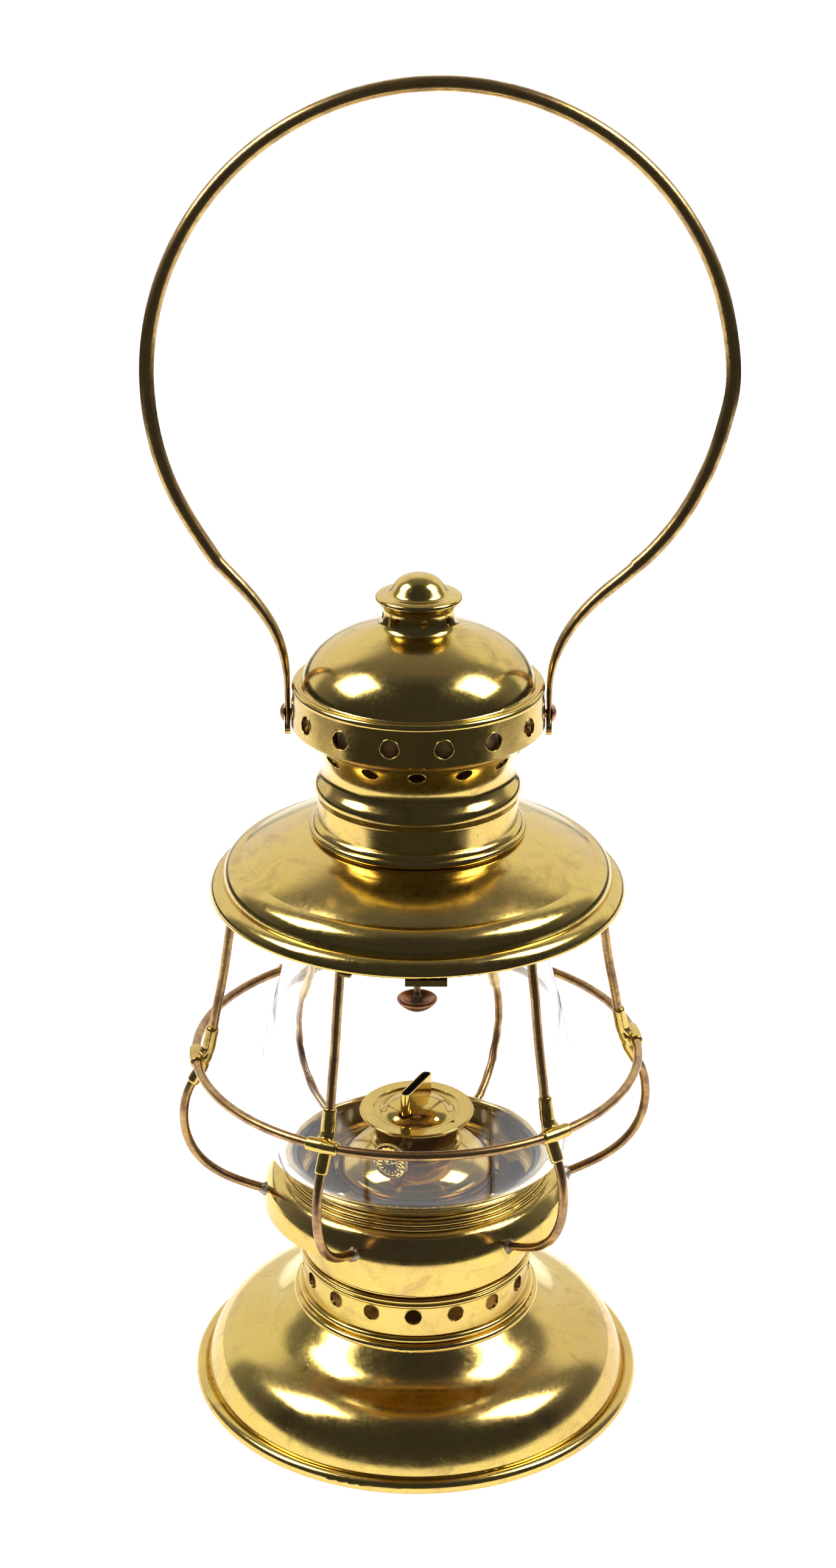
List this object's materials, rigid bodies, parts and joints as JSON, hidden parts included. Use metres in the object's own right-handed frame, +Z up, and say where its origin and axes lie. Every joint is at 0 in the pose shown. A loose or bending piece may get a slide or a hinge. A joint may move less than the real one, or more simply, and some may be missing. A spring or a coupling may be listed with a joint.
{
  "type": "railway lantern",
  "caption": "Brass hand-carried railway lantern with a bell base, clear glass globe in a wire guard, vented smoke dome, tall wire bail and a flat-wick oil burner.",
  "frame": {"origin": "on the lantern's centre line at floor level, the centre of the foot ring", "axes": "+Z up along the lantern's centre line, -Y towards the front with the thumb wheel and the catch lug, +X to the lantern's right-hand bail rivet as seen from the front"},
  "size_m": [0.1668, 0.14, 0.4049],
  "materials": {
    "sheet_brass": "polished and aged, warm gold with thin brown patina",
    "turned_brass": "polished",
    "inner_brass": "dull, smoke-darkened",
    "guard_wire": "browned wire, brass showing on the worn side",
    "bail_wire": "browned, softly polished by the hand",
    "copper": "dull copper",
    "clear_glass": "clear blown glass",
    "wick_cotton": "woven cotton, charred at the tip"
  },
  "bodies": {
    "base": {"base_bell": "sheet_brass", "rim_wire": "inner_brass", "draft_collar": "sheet_brass", "base_sleeve": "inner_brass", "pot_tray": "inner_brass", "font_pot": "turned_brass", "font_top": "turned_brass", "font_collar": "turned_brass", "burner_skirt": "turned_brass", "burner_disc": "turned_brass", "wick_tube": "turned_brass", "wick_plate": "inner_brass", "shaft_bushing": "inner_brass"},
    "wick_knob": {"wick_shaft": "inner_brass", "thumb_wheel": "turned_brass"},
    "wick": {"wick": "wick_cotton"},
    "frame": {"lower_band": "sheet_brass", "band_springs": "inner_brass", "seat_ring": "sheet_brass", "globe": "clear_glass", "guard_wires": "guard_wire", "guard_ring": "guard_wire", "guard_clips": "turned_brass", "top_ring": "sheet_brass", "front_lug": "sheet_brass", "hinge_frame_leaf": "sheet_brass"},
    "top": {"brim": "sheet_brass", "neck": "sheet_brass", "vent_band": "sheet_brass", "dome": "sheet_brass", "knob_neck": "sheet_brass", "knob_cap": "sheet_brass", "inner_chimney": "inner_brass", "wind_baffle": "inner_brass", "baffle_legs": "inner_brass", "flue_spider": "inner_brass", "globe_retainer": "inner_brass", "deflector_rod": "inner_brass", "deflector_dish": "copper", "hinge_top_leaf": "sheet_brass", "hinge_pin": "inner_brass", "catch_hook": "inner_brass", "bail_rivets": "copper"},
    "bail": {"bail": "bail_wire"}
  },
  "joints": [
    {"name": "frame_lift", "type": "slide", "parent": "base", "child": "frame", "axis": [0, 0, 1], "range_m": [0, 0.13]},
    {"name": "top_hinge", "type": "hinge", "parent": "frame", "child": "top", "pos_m": [0, 0.064, 0.1662], "axis": [-1, 0, 0], "range_deg": [0, 105]},
    {"name": "bail_swing", "type": "hinge", "parent": "top", "child": "bail", "pos_m": [0, 0, 0.2234], "axis": [1, 0, 0], "range_deg": [-100, 100]},
    {"name": "wick_turn", "type": "hinge", "parent": "base", "child": "wick_knob", "pos_m": [-0.00784, -0.02297, 0.0876], "axis": [-0.4384, -0.8988, 0], "range_deg": [-130, 130]},
    {"name": "wick_feed", "type": "slide", "parent": "base", "child": "wick", "axis": [0, 0, 1], "range_m": [-0.0052, 0.0052]}
  ],
  "couplings": [
    {"joint": "wick_turn", "follows": "wick_feed", "rad_per_m": -434.78}
  ]
}
